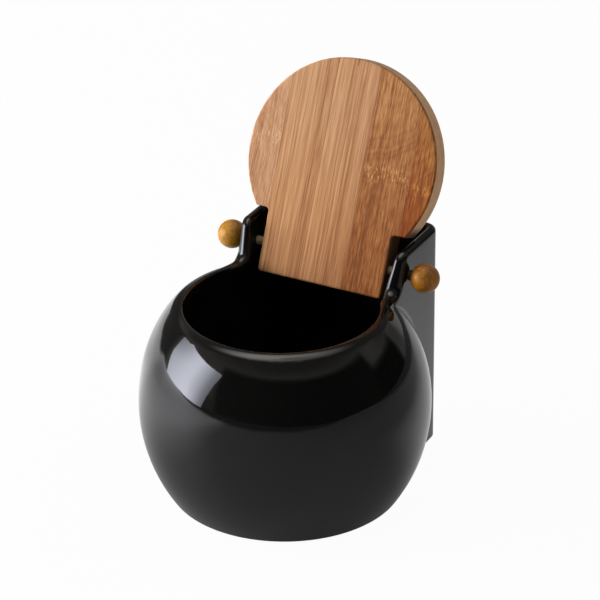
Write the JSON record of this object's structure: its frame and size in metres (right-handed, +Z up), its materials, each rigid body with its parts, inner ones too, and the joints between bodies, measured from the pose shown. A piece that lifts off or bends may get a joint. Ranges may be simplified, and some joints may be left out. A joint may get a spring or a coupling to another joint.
{
  "type": "salt canister",
  "caption": "Round glazed pot with a flat back and a bamboo lid that swings on a wooden dowel between the pot's cheeks, for salt kept beside the stove.",
  "frame": {"origin": "on the floor, in the middle of the pot's flat base, on the axis of its round body", "axes": "+Z up, +Y towards the flat back, +X to the right as seen from the front"},
  "size_m": [0.099, 0.1118, 0.1359],
  "materials": {
    "black_glaze": "gloss black glaze over stoneware",
    "bamboo_edge_grain": "sanded, thinly oiled",
    "bamboo_flat_grain": "sanded, thinly oiled",
    "dowel_wood": "bare, sanded",
    "stained_wood": "stained and satin lacquered"
  },
  "bodies": {
    "pot": {"pot": "black_glaze"},
    "lid": {"flat_strip_left": "bamboo_flat_grain", "edge_strip_1": "bamboo_edge_grain", "edge_strip_2": "bamboo_edge_grain", "edge_strip_3": "bamboo_edge_grain", "edge_strip_4": "bamboo_edge_grain", "edge_strip_5": "bamboo_edge_grain", "edge_strip_6": "bamboo_edge_grain", "flat_strip_right": "bamboo_flat_grain", "flat_strip_outer": "bamboo_flat_grain", "hinge_dowel": "dowel_wood", "ball_knob_left": "stained_wood", "ball_knob_right": "stained_wood"}
  },
  "joints": [
    {"name": "lid_hinge", "type": "hinge", "parent": "pot", "child": "lid", "pos_m": [0, 0.0312, 0.07274], "axis": [1, 0, 0], "range_deg": [0, 113.8]}
  ]
}
